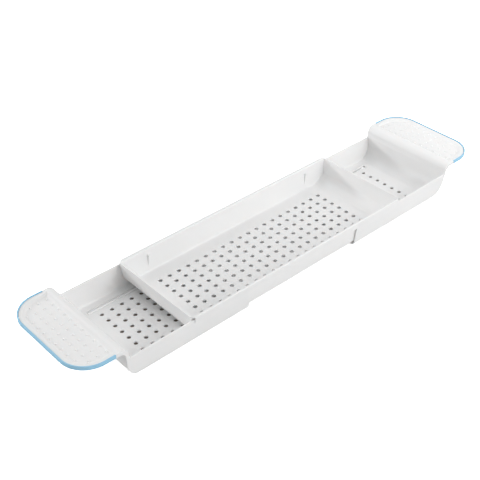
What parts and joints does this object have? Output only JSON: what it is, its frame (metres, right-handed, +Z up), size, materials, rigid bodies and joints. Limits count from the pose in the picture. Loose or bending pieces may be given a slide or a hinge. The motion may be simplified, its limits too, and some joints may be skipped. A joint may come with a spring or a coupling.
{
  "type": "bath caddy",
  "caption": "Extending plastic bath caddy: a perforated centre tray between two sliding perforated arms whose flat handles, edged with soft grip strips, rest on the bath rim.",
  "frame": {"origin": "centre of the underside of the overall box, as pictured", "axes": "+X along the caddy to its right handle, +Y across it to its far side, +Z up"},
  "size_m": [0.7304, 0.1564, 0.0555],
  "materials": {
    "tray_white": "satin moulded white plastic",
    "arm_white": "satin moulded white plastic",
    "grip_blue": "soft light blue strip with one shallow groove"
  },
  "bodies": {
    "tray": {"center_tray": "tray_white"},
    "left_arm": {"left_arm": "arm_white", "left_grip": "grip_blue"},
    "right_arm": {"right_arm": "arm_white", "right_grip": "grip_blue"}
  },
  "joints": [
    {"name": "left_arm_slide", "type": "slide", "parent": "tray", "child": "left_arm", "axis": [-1, 0, 0], "range_m": [-0.092, 0.05]},
    {"name": "right_arm_slide", "type": "slide", "parent": "tray", "child": "right_arm", "axis": [1, 0, 0], "range_m": [-0.0995, 0.0425]}
  ]
}
